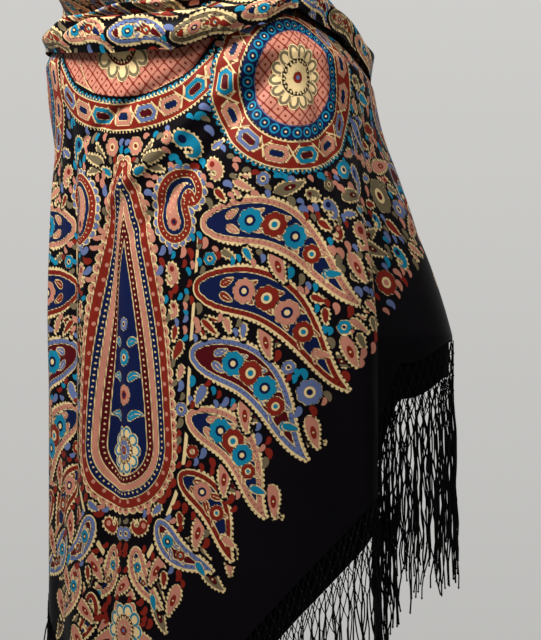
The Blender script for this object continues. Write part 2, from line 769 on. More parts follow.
def paint_lattice(sheet, shape, pitch):
    """A salmon ground crossed by red lines, with dots in its cells."""
    sheet.paint("salmon", shape)
    low, high = shape.box
    middle = (low + high) / 2
    reach = float(np.linalg.norm(high - low)) / 2
    half_width = max(0.0007, sheet.least)
    for tilt in (-1, 1):
        direction = np.array([1.0, tilt * 1.0]) / math.sqrt(2)
        normal = np.array([-direction[1], direction[0]])
        for index in range(-int(reach / pitch), int(reach / pitch) + 1):
            at = middle + normal * pitch * index
            line = Stroke([at - direction * reach, at + direction * reach], half_width)
            sheet.paint("brick", line, within=shape)
    count = int(reach / pitch) + 1
    for one in range(-count, count + 1):
        for other in range(-count, count + 1):
            at = middle + pitch * np.array([one + other, one - other]) / math.sqrt(2)
            at = at + np.array([pitch / math.sqrt(2), 0.0])
            sheet.paint("brick", Disc(at, max(0.0015, sheet.least)), within=shape)


def paint_band(sheet, line, half_width, pitch):
    """A red band with beaded edges and a chain of long cartouches."""
    band = Stroke(line, half_width)
    sheet.paint("black", band, -0.0085)
    for point in even_points(band_side(line, half_width + 0.0030), 0.0075)[0]:
        sheet.paint("turquoise", Disc(point, 0.0030))
        sheet.paint("black", Disc(point, 0.0013))
    sheet.paint("cream", band, -0.0014)
    sheet.paint("brick", band)
    for offset in (half_width + 0.0030, -half_width - 0.0030):
        beads(sheet, band_side(line, offset), 0.0050, 0.0011)
    points, angles = even_points(line, pitch)
    fills = ["salmon", "lilac", "salmon", "turquoise"]
    for index, (point, angle) in enumerate(zip(points, angles)):
        long, wide = pitch * 0.40, half_width * 0.62
        flat = long * 0.62
        corners = [(-long, 0), (-flat, wide), (flat, wide), (long, 0), (flat, -wide), (-flat, -wide)]
        cartouche = Convex([point + turned(corner, angle) for corner in corners])
        sheet.paint("cream", cartouche, -0.0011)
        sheet.paint(fills[index % 4], cartouche)
        sheet.paint("cream", cartouche, half_width * 0.30)
        sheet.paint("wine" if index % 2 else "navy", cartouche, half_width * 0.38)
    for start, end in zip(points[:-1], points[1:]):
        middle = (start + end) / 2
        away = (end - start) / np.linalg.norm(end - start)
        normal = np.array([-away[1], away[0]])
        for tilt in (-1, 1):
            tip = away * 0.006 + normal * tilt * half_width * 0.7
            sheet.paint("cream", Stroke([middle - tip, middle + tip], max(0.0008, sheet.least)))


def band_side(line, offset):
    line = np.asarray(line, dtype=float)
    along = np.gradient(line, axis=0)
    along /= np.linalg.norm(along, axis=1, keepdims=True)
    return line + np.stack([along[:, 1], -along[:, 0]], axis=1) * offset


def curve_through(points, count=60):
    """A smooth line through a few points."""
    points = np.asarray(points, dtype=float)
    padded = np.concatenate([[2 * points[0] - points[1]], points, [2 * points[-1] - points[-2]]])
    found = []
    for place in np.linspace(0, len(points) - 1 - 1e-9, count):
        index = int(place)
        share = place - index
        a, b, c, d = padded[index : index + 4]
        found.append(0.5 * (
            2 * b + (c - a) * share + (2 * a - 5 * b + 4 * c - d) * share ** 2
            + (3 * b - a - 3 * c + d) * share ** 3
        ))
    return np.array(found)


def mirrored(side, points):
    return np.asarray(points, dtype=float) * np.array([side, 1.0])


def heading_of(side, angle):
    """A heading in degrees, clockwise from the right on the right half, mirrored on the left."""
    angle = math.radians(angle)
    return angle if side > 0 else math.pi - angle


PLUMES = table("base heading length width bend hue", [
    ((0.018, 0.652), 78, 0.070, 0.0130, -0.4, 0),
    ((0.050, 0.622), 55, 0.080, 0.0150, -0.4, 2),
    ((0.078, 0.572), 36, 0.105, 0.0185, 0.4, 1),
    ((0.088, 0.512), 26, 0.140, 0.0225, 0.5, 0),
    ((0.092, 0.448), 18, 0.175, 0.0255, 0.5, 2),
    ((0.096, 0.382), 10, 0.205, 0.0270, 0.5, 1),
    ((0.104, 0.318), 4, 0.200, 0.0255, 0.5, 0),
    ((0.405, 0.238), 58, 0.120, 0.0240, -0.5, 2),
    ((0.462, 0.232), 66, 0.105, 0.0230, -0.5, 0),
    ((0.520, 0.228), 72, 0.095, 0.0220, -0.4, 1),
    ((0.572, 0.222), 80, 0.085, 0.0200, -0.4, 2),
])
LOW_PLUMES = table("base heading length width bend hue", [
    ((0.052, 0.700), 80, 0.066, 0.0125, -0.4, 1),
    ((0.078, 0.672), 70, 0.074, 0.0145, -0.4, 0),
    ((0.110, 0.636), 60, 0.078, 0.0150, -0.4, 2),
    ((0.145, 0.598), 52, 0.078, 0.0150, -0.4, 1),
])
STEM = [(0.010, 0.690), (0.045, 0.640), (0.078, 0.565), (0.088, 0.440), (0.100, 0.300)]


def paint_garland(sheet, side):
    """Plumes that spring from a stem along the drop, and leaves along their edges."""
    hues = [("salmon", "navy", "turquoise"), ("brick", "navy", "salmon"), ("lilac", "wine", "turquoise")]
    stem = curve_through(mirrored(side, STEM))
    sheet.paint("cream", Stroke(stem, np.linspace(0.0026, 0.0014, len(stem))))
    for row in PLUMES + (LOW_PLUMES if side < 0 else []):
        heading = heading_of(side, row["heading"])
        bend = side * row["bend"]
        bends = [-bend * 0.5, bend, bend * 0.3, -bend]
        base = mirrored(side, row["base"])
        for share, tilt in ((0.35, -0.75), (0.75, -0.6), (0.35, 0.75), (0.75, 0.6)):
            at = base + share * row["length"] * np.array([math.cos(heading), math.sin(heading)])
            turn = heading + side * tilt
            aside = heading + side * math.copysign(1.45, tilt)
            off = at + row["width"] * 1.15 * np.array([math.cos(aside), math.sin(aside)])
            hues_here = ("olive", "wine") if tilt < 0 else ("salmon", "brick")
            bud_leaf(sheet, off, turn, 0.034, side * 0.3, 0.0070, hues_here)
        blossoms = 3 if row["length"] < 0.12 else 5
        plume(sheet, base, heading, row["length"], bends, row["width"], hues[row["hue"]], blossoms)


def paint_centre(sheet):
    """A tall drop on the middle of the back, with nested outlines and a flowering heart."""
    drop = tapered_drop((0.0, 0.545), 0.255, 0.066)
    sheet.paint("black", drop, -0.0060)
    outline = drop.edge(-0.0010)
    for point in even_points(outline, 0.0105)[0]:
        sheet.paint("cream", Disc(point, 0.0060))
    for point in even_points(outline, 0.0105)[0]:
        sheet.paint("salmon", Disc(point, 0.0044))
        sheet.paint("brick", Disc(point, 0.0017))
    sheet.paint("cream", drop)
    layers = [("brick", 0.0100), ("navy", 0.0080), ("salmon", 0.0070), ("wine", 0.0085), ("navy", 0.0)]
    inset = 0.0014
    for index, (colour, width) in enumerate(layers):
        sheet.paint(colour, drop, inset)
        if width:
            inset += width
            sheet.paint("cream", drop, inset - 0.0014)
        if index in (1, 3):
            beads(sheet, drop.edge(inset - width / 2 - 0.0007), 0.0060, 0.0013)
        if index == 0:
            for point in even_points(drop.edge(inset - width / 2), 0.0150)[0]:
                sheet.paint("salmon", Disc(point, 0.0022))
    rosette(sheet, np.array([0.0, 0.552]), 0.0225, 10, ("turquoise", "lilac", "wine"))
    for length, radius, hues in (
        (0.496, 0.0105, ("cream", "salmon", "brick", "navy")),
        (0.458, 0.0085, ("cream", "turquoise", "cream", "brick")),
        (0.424, 0.0065, ("cream", "lilac", "cream", "navy")),
    ):
        flower(sheet, np.array([0.0, length]), radius, 8, hues)
    for side in (-1, 1):
        for length, reach in ((0.520, 0.020), (0.480, 0.016), (0.444, 0.012)):
            base, heading = np.array([side * 0.009, length]), heading_of(side, -50)
            small_leaf(sheet, base, heading, reach, 0.2 * side, 0.0036, "turquoise")


def paint_paisleys(sheet, side):
    """A bent paisley beside the drop's point, head down and tail turned outward."""
    middle = mirrored(side, (0.068, 0.318))
    bends = [0.1 * side, side * 0.5, side * 1.3]
    colours = ("lilac", "brick", "navy", "salmon", "wine", "turquoise")
    paisley(sheet, middle, 0.021, heading_of(side, -112), 0.085, bends, colours)
    flower(sheet, middle, 0.0085, 8, ("cream", "salmon", "brick", "navy"))


def paint_yoke(sheet):
    """Above the drop: a lattice field with a rosette, and a band of cartouches hung below it."""
    for side in (-1, 1):
        field = Stroke(mirrored(side, [(0.0, 0.128), (0.10, 0.105)]), [0.072, 0.050])
        sheet.paint("cream", field, -0.0012)
        paint_lattice(sheet, field, 0.0110)
    rosette(sheet, np.array([0.0, 0.140]), 0.036, 12, ("olive", "cream", "wine"))
    for side in (-1, 1):
        rosette(sheet, mirrored(side, (0.082, 0.095)), 0.022, 10, ("turquoise", "cream", "wine"))
    line = curve_through([(-0.125, 0.150), (-0.075, 0.196), (0.0, 0.215), (0.075, 0.196), (0.125, 0.150)])
    paint_band(sheet, line, 0.0120, 0.034)


def paint_medallion(sheet, side, middle, radius):
    """A round lattice field with a rosette, ringed by a band of cartouches."""
    middle = mirrored(side, middle)
    ring = circle(middle, radius, 96)
    ring = np.concatenate([ring, ring[:1]])
    if side < 0:
        ring = ring[::-1]
    paint_band(sheet, ring, 0.0125, 0.034)
    inner = Disc(middle, radius - 0.0155)
    sheet.paint("navy", inner)
    for point in even_points(circle(middle, radius - 0.0225, 72), 0.0125, closed=True)[0]:
        sheet.paint("turquoise", Disc(point, 0.0054))
        sheet.paint("navy", Disc(point, 0.0034))
        sheet.paint("cream", Disc(point, 0.0014))
    field = Disc(middle, radius - 0.0300)
    sheet.paint("lilac", field, -0.0012)
    paint_lattice(sheet, field, 0.0110)
    rosette(sheet, middle, min(0.040, (radius - 0.030) * 0.62), 14, ("olive", "cream", "black"))


DARKER_HUES = {"salmon": "brick", "olive": "wine", "turquoise": "navy", "lilac": "navy", "brick": "salmon"}


def choose_fillers(sheet, sizes, low, high, keep, seed):
    """Places and kinds of small motifs on what a sheet still has black, large ones first."""
    random = np.random.default_rng(seed)
    hues = ["salmon", "olive", "salmon", "turquoise", "lilac", "brick"]
    low_hues = ["brick", "olive", "salmon", "brick", "lilac", "brick"]
    fillers = []
    for size in sizes:
        tries = int(5 * (high[0] - low[0]) * (high[1] - low[1]) / size ** 2)
        for _ in range(tries):
            at = random.uniform(low, high)
            pick = random.integers(0, 6)
            kind, lean = random.integers(0, 4), random.uniform(-0.6, 0.6)
            hue = low_hues[pick] if at[1] > 0.5 else hues[pick]
            if not keep(at, size) or occupied(sheet, at, size * 0.40):
                continue
            filler = {"at": at, "size": size, "kind": kind, "hue": hue, "lean": lean}
            fillers.append(filler)
            sheet.paint("cream", Disc(at, size * 0.42))
    return fillers


def paint_filler(sheet, filler, side):
    """One small motif: a beaded leaf, a flower, a curl or a spray, by its size and kind."""
    size, hue = filler["size"], filler["hue"]
    at = mirrored(side, filler["at"])
    away = math.atan2(filler["at"][1] - 0.30, filler["at"][0]) + filler["lean"]
    turn = away if side > 0 else math.pi - away
    back = at - turned((size * 0.42, 0.0), turn)
    other = DARKER_HUES[hue]
    if size < 0.014:
        sheet.paint(hue, leaf_shape(back, turn, size * 0.9, [0.3, 0.3], size * 0.24))
    elif filler["kind"] == 0:
        flower(sheet, at, size * 0.38, 8 if size > 0.02 else 6, ("cream", hue, "cream", other), turn)
    elif filler["kind"] == 1 or size < 0.02:
        bud_leaf(sheet, back, turn, size * 0.92, side * 0.35, size * 0.22, (hue, other))
    elif filler["kind"] == 2:
        bends = [0.4 * side, 1.4 * side, 2.0 * side]
        line = bent_line(at - turned((size * 0.2, 0.0), turn), turn, size * 0.85, bends, 14)
        curl = Stroke(line, np.linspace(size * 0.20, 0.0008, len(line)))
        beaded_edge(sheet, curl, 0.0050, 0.0014)
        sheet.paint(hue, curl, 0.0012)
        sheet.paint(other, Disc(line[0], size * 0.09))
    else:
        for tilt, reach in ((-0.75, 0.75), (0.75, 0.75), (0.0, 0.95)):
            bud_leaf(sheet, back, turn + tilt, size * reach, 0.2 * side, size * 0.15, (hue, other))


def occupied(sheet, at, reach):
    """Whether any printed colour lies within a reach of a place."""
    rows, columns, x, y = sheet.window(at - reach + FAR, at + reach - FAR)
    if x.size == 0:
        return True
    return bool((sheet.fields[:, rows, columns] > 0).any())


def paint_corner(sheet):
    """A bouquet below the drop that reaches into the square's corner."""
    for side in (-1, 1):
        for base, heading, length, width, hues in (
            ((0.006, 0.742), -8, 0.075, 0.0125, ("salmon", "wine")),
            ((0.006, 0.752), 30, 0.060, 0.0110, ("turquoise", "navy")),
            ((0.004, 0.756), 62, 0.050, 0.0100, ("lilac", "navy")),
        ):
            place, turn = mirrored(side, base), heading_of(side, heading)
            bud_leaf(sheet, place, turn, length, 0.4 * side, width, hues)
    rosette(sheet, np.array([0.0, 0.735]), 0.026, 10, ("turquoise", "salmon", "wine"))


def paint_motifs(sheet):
    """The large parts of the upper triangle's print, mirrored about the middle of the back."""
    for side in (-1, 1):
        paint_garland(sheet, side)
    paint_yoke(sheet)
    for side in (-1, 1):
        paint_medallion(sheet, side, (0.205, 0.178), 0.080)
        paint_medallion(sheet, side, (0.440, 0.120), 0.085)
        paint_medallion(sheet, side, (0.640, 0.120), 0.080)
        paint_paisleys(sheet, side)
    paint_centre(sheet)
    paint_corner(sheet)


def inside_margin(at, size):
    """Whether a filler keeps the plain margin along the hem, which is narrower in the corner."""
    margin = 0.100 - 0.040 * float(bump(at[0], 0.10))
    return hem_distance(*at) > margin + size * 0.5


def plan_print():
    """The small motifs of the right half, chosen once so that all the pieces agree."""
    plan = Sheet(np.arange(0.0, 0.68, 0.003), np.arange(0.0, 0.90, 0.003))
    paint_motifs(plan)
    sizes = (0.046, 0.034, 0.025, 0.018, 0.0125, 0.009)
    return choose_fillers(plan, sizes, (0.004, 0.02), (0.66, 0.84), inside_margin, 5)


def paint_cloth(sheet, fillers):
    paint_motifs(sheet)
    for filler in fillers:
        for side in (-1, 1):
            paint_filler(sheet, filler, side)


def paint_top_motifs(sheet):
    """The turned top's print: bands and garlands that run round with its folds, listed by their
    distance above its lower edge."""
    runs = np.linspace(-0.70, 0.70, 170)
    end = TOP_REACH
    bands = [
        {"above": 0.112, "colour": "wine", "half_width": 0.012},
        {"above": 0.150, "colour": "salmon", "half_width": 0.010},
        {"above": 0.188, "colour": "brick", "half_width": 0.010},
    ]
    for band in bands:
        line = np.stack([runs, end - band["above"] + 0.004 * np.sin(runs * 17)], 1)
        sheet.paint("cream", Stroke(line[::2], band["half_width"] + 0.0014))
        sheet.paint(band["colour"], Stroke(line[::2], band["half_width"]))
    line = np.stack([runs, end - 0.050 + 0.004 * np.sin(runs * 14 + 1)], 1)
    paint_band(sheet, line[::2], 0.0100, 0.032)
    hues = [("salmon", "navy", "turquoise"), ("lilac", "wine", "turquoise"), ("olive", "brick", "salmon")]
    garlands = [
        {"above": 0.020, "heading": 0.15, "bends": [-0.3, 0.3, 0.6], "length": 0.080, "width": 0.0150},
        {"above": 0.082, "heading": -0.25, "bends": [0.5, 0.2, -0.8], "length": 0.088, "width": 0.0150},
        {"above": 0.130, "heading": 0.2, "bends": [-0.4, 0.2, 0.8], "length": 0.086, "width": 0.0120},
    ]
    for index, run in enumerate(np.arange(-0.70, 0.70, 0.070)):
        for row, garland in enumerate(garlands):
            base = np.array([run + 0.025 * row, end - garland["above"] + 0.004 * math.sin(run * 23 + row)])
            hue = hues[(index + row) % 3]
            heading, bends = garland["heading"], garland["bends"]
            plume(sheet, base, heading, garland["length"], bends, garland["width"], hue, 3)
        flower(sheet, np.array([run, end - 0.112]), 0.0095, 8, ("cream", "turquoise", "cream", "navy"))
        between = np.array([run + 0.035, end - 0.112])
        flower(sheet, between, 0.0085, 7, ("cream", "salmon", "cream", "brick"))


def paint_top(sheet):
    """The top's large motifs, and small ones on what they leave black."""
    plan = Sheet(np.arange(-0.68, 0.68, 0.003), np.arange(0.0, TOP_REACH, 0.003))
    paint_top_motifs(plan)
    sizes = (0.030, 0.020, 0.0125)
    paint_top_motifs(sheet)
    for filler in choose_fillers(plan, sizes, (-0.67, 0.0), (0.67, TOP_REACH), lambda at, size: True, 31):
        paint_filler(sheet, filler, 1)


# Materials

PRINT_COLOURS = {
    "cream": (0.64, 0.47, 0.23),
    "brick": (0.165, 0.013, 0.007),
    "wine": (0.062, 0.003, 0.005),
    "salmon": (0.42, 0.165, 0.110),
    "turquoise": (0.005, 0.160, 0.260),
    "lilac": (0.095, 0.125, 0.250),
    "navy": (0.004, 0.008, 0.042),
    "olive": (0.130, 0.100, 0.055),
}
GROUND = (0.0026, 0.0018, 0.0028)
SILK = (0.0030, 0.0026, 0.0032)
SOFT_EDGE = 0.00035


def new_material(name):
    material = bpy.data.materials.new(name)
    material.use_nodes = True
    return material, material.node_tree.nodes, material.node_tree.links


def add_node(nodes, kind, **inputs):
    """A node of a kind, with values for its inputs, whose names have _ for a space."""
    node = nodes.new(kind)
    for name, value in inputs.items():
        node.inputs[name.replace("_", " ")].default_value = value
    return node


def add_weave(nodes, links, shader, scale, depth, wrinkles):
    """Fine thread bumps over soft small wrinkles, from the object's own coordinates."""
    coordinates = nodes.new("ShaderNodeTexCoord")
    thread = add_node(nodes, "ShaderNodeTexNoise", Scale=scale, Detail=3.0)
    wrinkle = add_node(nodes, "ShaderNodeTexNoise", Scale=34.0, Detail=3.0)
    fine = add_node(nodes, "ShaderNodeBump", Strength=0.35, Distance=depth)
    broad = add_node(nodes, "ShaderNodeBump", Strength=0.55, Distance=wrinkles)
    links.new(coordinates.outputs["Object"], thread.inputs["Vector"])
    links.new(coordinates.outputs["Object"], wrinkle.inputs["Vector"])
    links.new(thread.outputs["Fac"], fine.inputs["Height"])
    links.new(wrinkle.outputs["Fac"], broad.inputs["Height"])
    links.new(broad.outputs["Normal"], fine.inputs["Normal"])
    links.new(fine.outputs["Normal"], shader.inputs["Normal"])
    return thread, wrinkle


def vary(nodes, links, colour, noise, low, high):
    """Lightens and darkens a colour a little by a noise."""
    span = add_node(nodes, "ShaderNodeMapRange", From_Min=0.3, From_Max=0.7, To_Min=low, To_Max=high)
    mix = add_node(nodes, "ShaderNodeMix", Factor=1.0)
    mix.data_type = "RGBA"
    mix.blend_type = "MULTIPLY"
    links.new(noise.outputs["Fac"], span.inputs["Value"])
    links.new(colour, mix.inputs[6])
    links.new(span.outputs["Result"], mix.inputs[7])
    return mix.outputs[2]


def add_print(nodes, links, ground):
    """The printed colours over the ground, each where its own field is above nothing."""
    result = ground
    for name in COLOURS:
        field = nodes.new("ShaderNodeAttribute")
        field.attribute_name = name
        edge = add_node(nodes, "ShaderNodeMapRange", From_Min=-SOFT_EDGE, From_Max=SOFT_EDGE)
        edge.interpolation_type = "SMOOTHSTEP"
        mix = nodes.new("ShaderNodeMix")
        mix.data_type = "RGBA"
        mix.inputs[7].default_value = (*PRINT_COLOURS[name], 1.0)
        links.new(field.outputs["Fac"], edge.inputs["Value"])
        links.new(edge.outputs["Result"], mix.inputs["Factor"])
        links.new(result, mix.inputs[6])
        result = mix.outputs[2]
    return result


def cloth_material(name, colour, weave, threads, roughness, shine, printed=False):
    """A cloth or thread of one ground colour, with a print over it or not."""
    material, nodes, links = new_material(name)
    shader = nodes["Principled BSDF"]
    ground = nodes.new("ShaderNodeRGB")
    ground.outputs[0].default_value = (*colour, 1.0)
    result = ground.outputs[0]
    if printed:
        result = add_print(nodes, links, result)
    thread, wrinkle = add_weave(nodes, links, shader, *weave)
    result = vary(nodes, links, result, thread, *threads)
    if printed:
        result = vary(nodes, links, result, wrinkle, 0.90, 1.08)
    links.new(result, shader.inputs["Base Color"])
    shader.inputs["Roughness"].default_value = roughness
    shader.inputs["Specular IOR Level"].default_value = shine
    return material


# The pieces of cloth

def cloth_grid(runs, step, lowest):
    """Points of the upper cloth's inner face and its normals over runs, in level rows."""
    halves = cloth_columns(runs)
    down = np.arange(int(lowest / step) + 3) * step
    points = np.concatenate([half.points(down[:, None]) for half in halves], axis=1)
    hem = np.concatenate([half.hem for half in halves])
    normals = grid_normals(points)
    points = points + normals * crease_height(runs[None, :], down[:, None])[..., None]
    return points, grid_normals(points), down, hem


def layer_gap(down):
    return LEAST_GAP + (HEM_GAP - LEAST_GAP) * ramp(down, 0.03, 0.22)


def declare_cloth(obj, material, node):
    """A draped stretch of cloth, with the flat size and area of its cut."""
    obj.data.materials.append(material)
    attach(obj, "root")
    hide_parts(node)


def make_upper(name, start, end, step, node, material, fillers):
    """A stretch of the upper triangle between two runs, with its print."""
    columns = int(round((end - start) / step))
    runs = start + (end - start) * np.arange(columns + 1) / columns
    step = (end - start) / columns
    halves_hem = np.concatenate([half.hem for half in cloth_columns(runs)])
    points, normals, down, hem = cloth_grid(runs, step, halves_hem.max())
    sheet = Sheet(runs, down)
    paint_cloth(sheet, fillers)
    last = trimmed_rows(hem, step)
    points = trim(points + normals * WALL, hem, step, last)
    fields = {name: sheet.fields[index] for index, name in enumerate(COLOURS)}
    obj = grid_mesh(name, points, last, fields)
    declare_cloth(obj, material, node)


def make_under(name, start, end, node, material):
    """A stretch of the lower triangle between two runs."""
    columns = int(round((end - start) / UNDER_STEP))
    runs = start + (end - start) * np.arange(columns + 1) / columns
    step = (end - start) / columns
    halves_hem = np.concatenate([half.hem for half in cloth_columns(runs)]) + UNDER_SHOWS
    points, normals, down, hem = cloth_grid(runs, step, halves_hem.max())
    hem = hem + UNDER_SHOWS
    last = trimmed_rows(hem, step)
    gap = layer_gap(down)[:, None, None]
    points = trim(points - normals * gap, hem, step, last)
    obj = grid_mesh(name, points, last, {})
    declare_cloth(obj, material, node)


def top_length(angle):
    """Length of the turned top on the outside, from the crest to its lower edge."""
    length = TOP_LENGTHS[0]["length"]
    for before, after in zip(TOP_LENGTHS[:-1], TOP_LENGTHS[1:]):
        share = ramp(np.degrees(angle), before["angle"], after["angle"])
        length = length + (after["length"] - before["length"]) * share
    return length


# Long folds of the turned top, drawn together behind the +X side, each a ridge or trough
# between two places given by angle and by length below the crest
TOP_FOLDS = table("from start to end width height", [
    (-85, 0.099, 78, 0.076, 0.0080, 0.0125),
    (-66, 0.112, 74, 0.087, 0.0040, -0.0080),
    (-56, 0.120, 74, 0.095, 0.0062, 0.0110),
    (-48, 0.129, 72, 0.104, 0.0036, -0.0075),
    (-34, 0.136, 70, 0.110, 0.0050, 0.0085),
    (-75, 0.066, 82, 0.056, 0.0080, -0.0070),
    (58, 0.102, 128, 0.120, 0.0080, 0.0080),
    (66, 0.080, 150, 0.096, 0.0050, -0.0070),
    (110, 0.120, 170, 0.140, 0.0080, 0.0060),
    (-170, 0.130, -70, 0.118, 0.0080, 0.0070),
    (-165, 0.095, -60, 0.080, 0.0065, -0.0060),
    (-150, 0.060, -70, 0.070, 0.0080, 0.0055),
])


def top_fold_height(angle, length):
    """Height of the turned top's folds at each column, for a length below the crest."""
    degrees = np.degrees(angle)
    height = np.zeros_like(degrees)
    for fold in TOP_FOLDS:
        share = (degrees - fold["from"]) / (fold["to"] - fold["from"])
        middle = fold["start"] + (fold["end"] - fold["start"]) * np.clip(share, 0, 1)
        middle = middle + 0.004 * np.sin(share * 7.0 + fold["from"])
        fades = smooth(share * 5) * smooth((1 - share) * 7)
        width = np.where(length > middle, 0.8, 1.2) * fold["width"]
        height += fold["height"] * fades * bump(length - middle, width)
    return height


def top_sections(half, crest_normals):
    """Sections of the turned top's outer face, up from the crest, over its roll and down outside."""
    angle = half.angle
    sideways = crest_point(half.side, angle + 0.01) - crest_point(half.side, angle - 0.01)
    sideways *= half.side / np.linalg.norm(sideways, axis=-1, keepdims=True)
    outward = crest_normals - sideways * (crest_normals * sideways).sum(-1, keepdims=True)
    outward /= np.linalg.norm(outward, axis=-1, keepdims=True)
    tangent = np.cross(sideways, outward)
    start = half.points(np.zeros((1, 1)))[0] + outward * WALL
    top = start - tangent * TOP_RISE
    reach = TOP_ROLL + TOP_WALL / 2
    section = [start, (start + top) / 2, top]
    middle = top + outward * TOP_ROLL
    for turned_by in np.linspace(0, math.pi, 13)[1:]:
        round_roll = middle - outward * TOP_ROLL * math.cos(turned_by) - tangent * reach * math.sin(turned_by)
        section.append(round_roll + outward * TOP_WALL * (1 - math.cos(turned_by)) / 2)
    whole = top_length(half.side * angle)
    for share in np.linspace(0, 1, 90)[1:]:
        point = half.points((whole * share)[None, :])[0]
        below = half.points((whole * share + 0.004)[None, :])[0]
        ahead = below - half.points((whole * share - 0.004)[None, :])[0]
        outward = np.cross(ahead, sideways)
        outward /= np.linalg.norm(outward, axis=-1, keepdims=True)
        stands = WALL + TOP_WALL + 2 * TOP_ROLL + (TOP_CLEAR - 2 * TOP_ROLL) * ramp(share, 0.0, 0.5)
        for swag in TOP_SWAGS:
            stands += swag["height"] * bump(share - swag["share"], swag["spread"])
        stands -= TOP_HEM_CURL * ramp(share, 0.90, 1.0)
        stands = stands + top_fold_height(half.side * angle, whole * share)
        section.append(point + outward * stands[..., None])
    return np.array(section)


def make_top(start, end, material):
    """The turned top between two runs, from inside the crest to its lower edge."""
    columns = int(round((end - start) / TOP_STEP))
    runs = np.linspace(start, end, columns + 1)
    sections = []
    for half in cloth_columns(runs):
        crest = half.points(np.array([[0.0], [0.006], [0.012]]))
        sections.append(top_sections(half, grid_normals(crest)[0]))
    sections = np.concatenate(sections, axis=1)
    lengths = lengths_along(sections)
    rows = int(round(TOP_REACH / TOP_STEP))
    points = np.empty((rows + 1, columns + 1, 3))
    for column in range(columns + 1):
        places = np.linspace(0, lengths[-1, column], rows + 1)
        for axis in range(3):
            points[:, column, axis] = np.interp(places, lengths[:, column], sections[:, column, axis])
    sheet = Sheet(runs, np.linspace(0, TOP_REACH, rows + 1))
    paint_top(sheet)
    fields = {name: sheet.fields[index] for index, name in enumerate(COLOURS)}
    obj = grid_mesh("turned_top_cloth", points, np.full(columns + 1, rows), fields)
    obj.data.materials.append(material)
    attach(obj, "root")
    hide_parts("turned_top")


# The fringe: a knotted net below each slanting edge, and free strands below the net

KNOT_PITCH = 0.0100
NET_ROWS = 4
NET_DROP = 0.0125
THREAD_RADIUS = 0.00062
STRAND_RADIUS = 0.00078
KNOT_RADIUS = 0.0016
FREE_STEPS = 15


def tube_mesh(paths, radii, sides):
    """Corners and faces of round strands, given as points and radii in rows, one row a strand."""
    strands, steps = paths.shape[:2]
    turns = np.arange(sides) * 2 * math.pi / sides + 0.4
    ring = np.stack([np.cos(turns), np.sin(turns), np.zeros(sides)], -1)
    corners = paths[:, :, None, :] + ring[None, None] * radii[:, :, None, None]
    number = np.arange(strands * steps * sides).reshape(strands, steps, sides)
    after = np.roll(number, -1, axis=2)
    quads = np.stack([number[:, :-1], number[:, 1:], after[:, 1:], after[:, :-1]], -1)
    return corners.reshape(-1, 3), quads.reshape(-1, 4).tolist()


def knot_mesh(middles, radius):
    """Corners and faces of small knots, each drawn as a double pyramid."""
    ways = np.array([(1, 0, 0), (0, 1, 0), (-1, 0, 0), (0, -1, 0), (0, 0, 1.3), (0, 0, -1.3)])
    corners = middles[:, None] + ways[None] * radius
    faces = []
    for side in range(4):
        faces.append((side, (side + 1) % 4, 4))
        faces.append(((side + 1) % 4, side, 5))
    number = np.arange(len(middles))[:, None, None] * 6 + np.array(faces)[None]
    return corners.reshape(-1, 3), number.reshape(-1, 3).tolist()


def hem_line(side, under):
    """Close points along one slanting edge from the middle of the back, and their outward ways."""
    runs = np.linspace(0.0, half_run(side), 700)
    half = HalfCloth(side, runs)
    rows = half.hem[None, :] + np.array([[-0.004], [0.0]])
    points = half.points(rows + (UNDER_SHOWS if under else 0.0))
    ahead = np.gradient(points[1], axis=0)
    outward = np.stack([ahead[:, 1], -ahead[:, 0], np.zeros(len(ahead))], -1) * side
    outward /= np.linalg.norm(outward, axis=-1, keepdims=True)
    return points[1], outward


def smooth_wander(random, strands, steps, reach):
    """A soft sideways wander for each strand, growing from nothing at its root."""
    down = np.linspace(0, 1, steps)
    wander = np.zeros((strands, steps))
    for waves, share in ((0.7, 0.55), (1.6, 0.30), (3.4, 0.15)):
        phase = random.uniform(0, 2 * math.pi, (strands, 1))
        size = random.normal(0, 1, (strands, 1)) * share * reach
        wander += size * (np.sin(2 * math.pi * waves * down[None] + phase) - np.sin(phase))
    return wander * smooth(down * 3)[None]


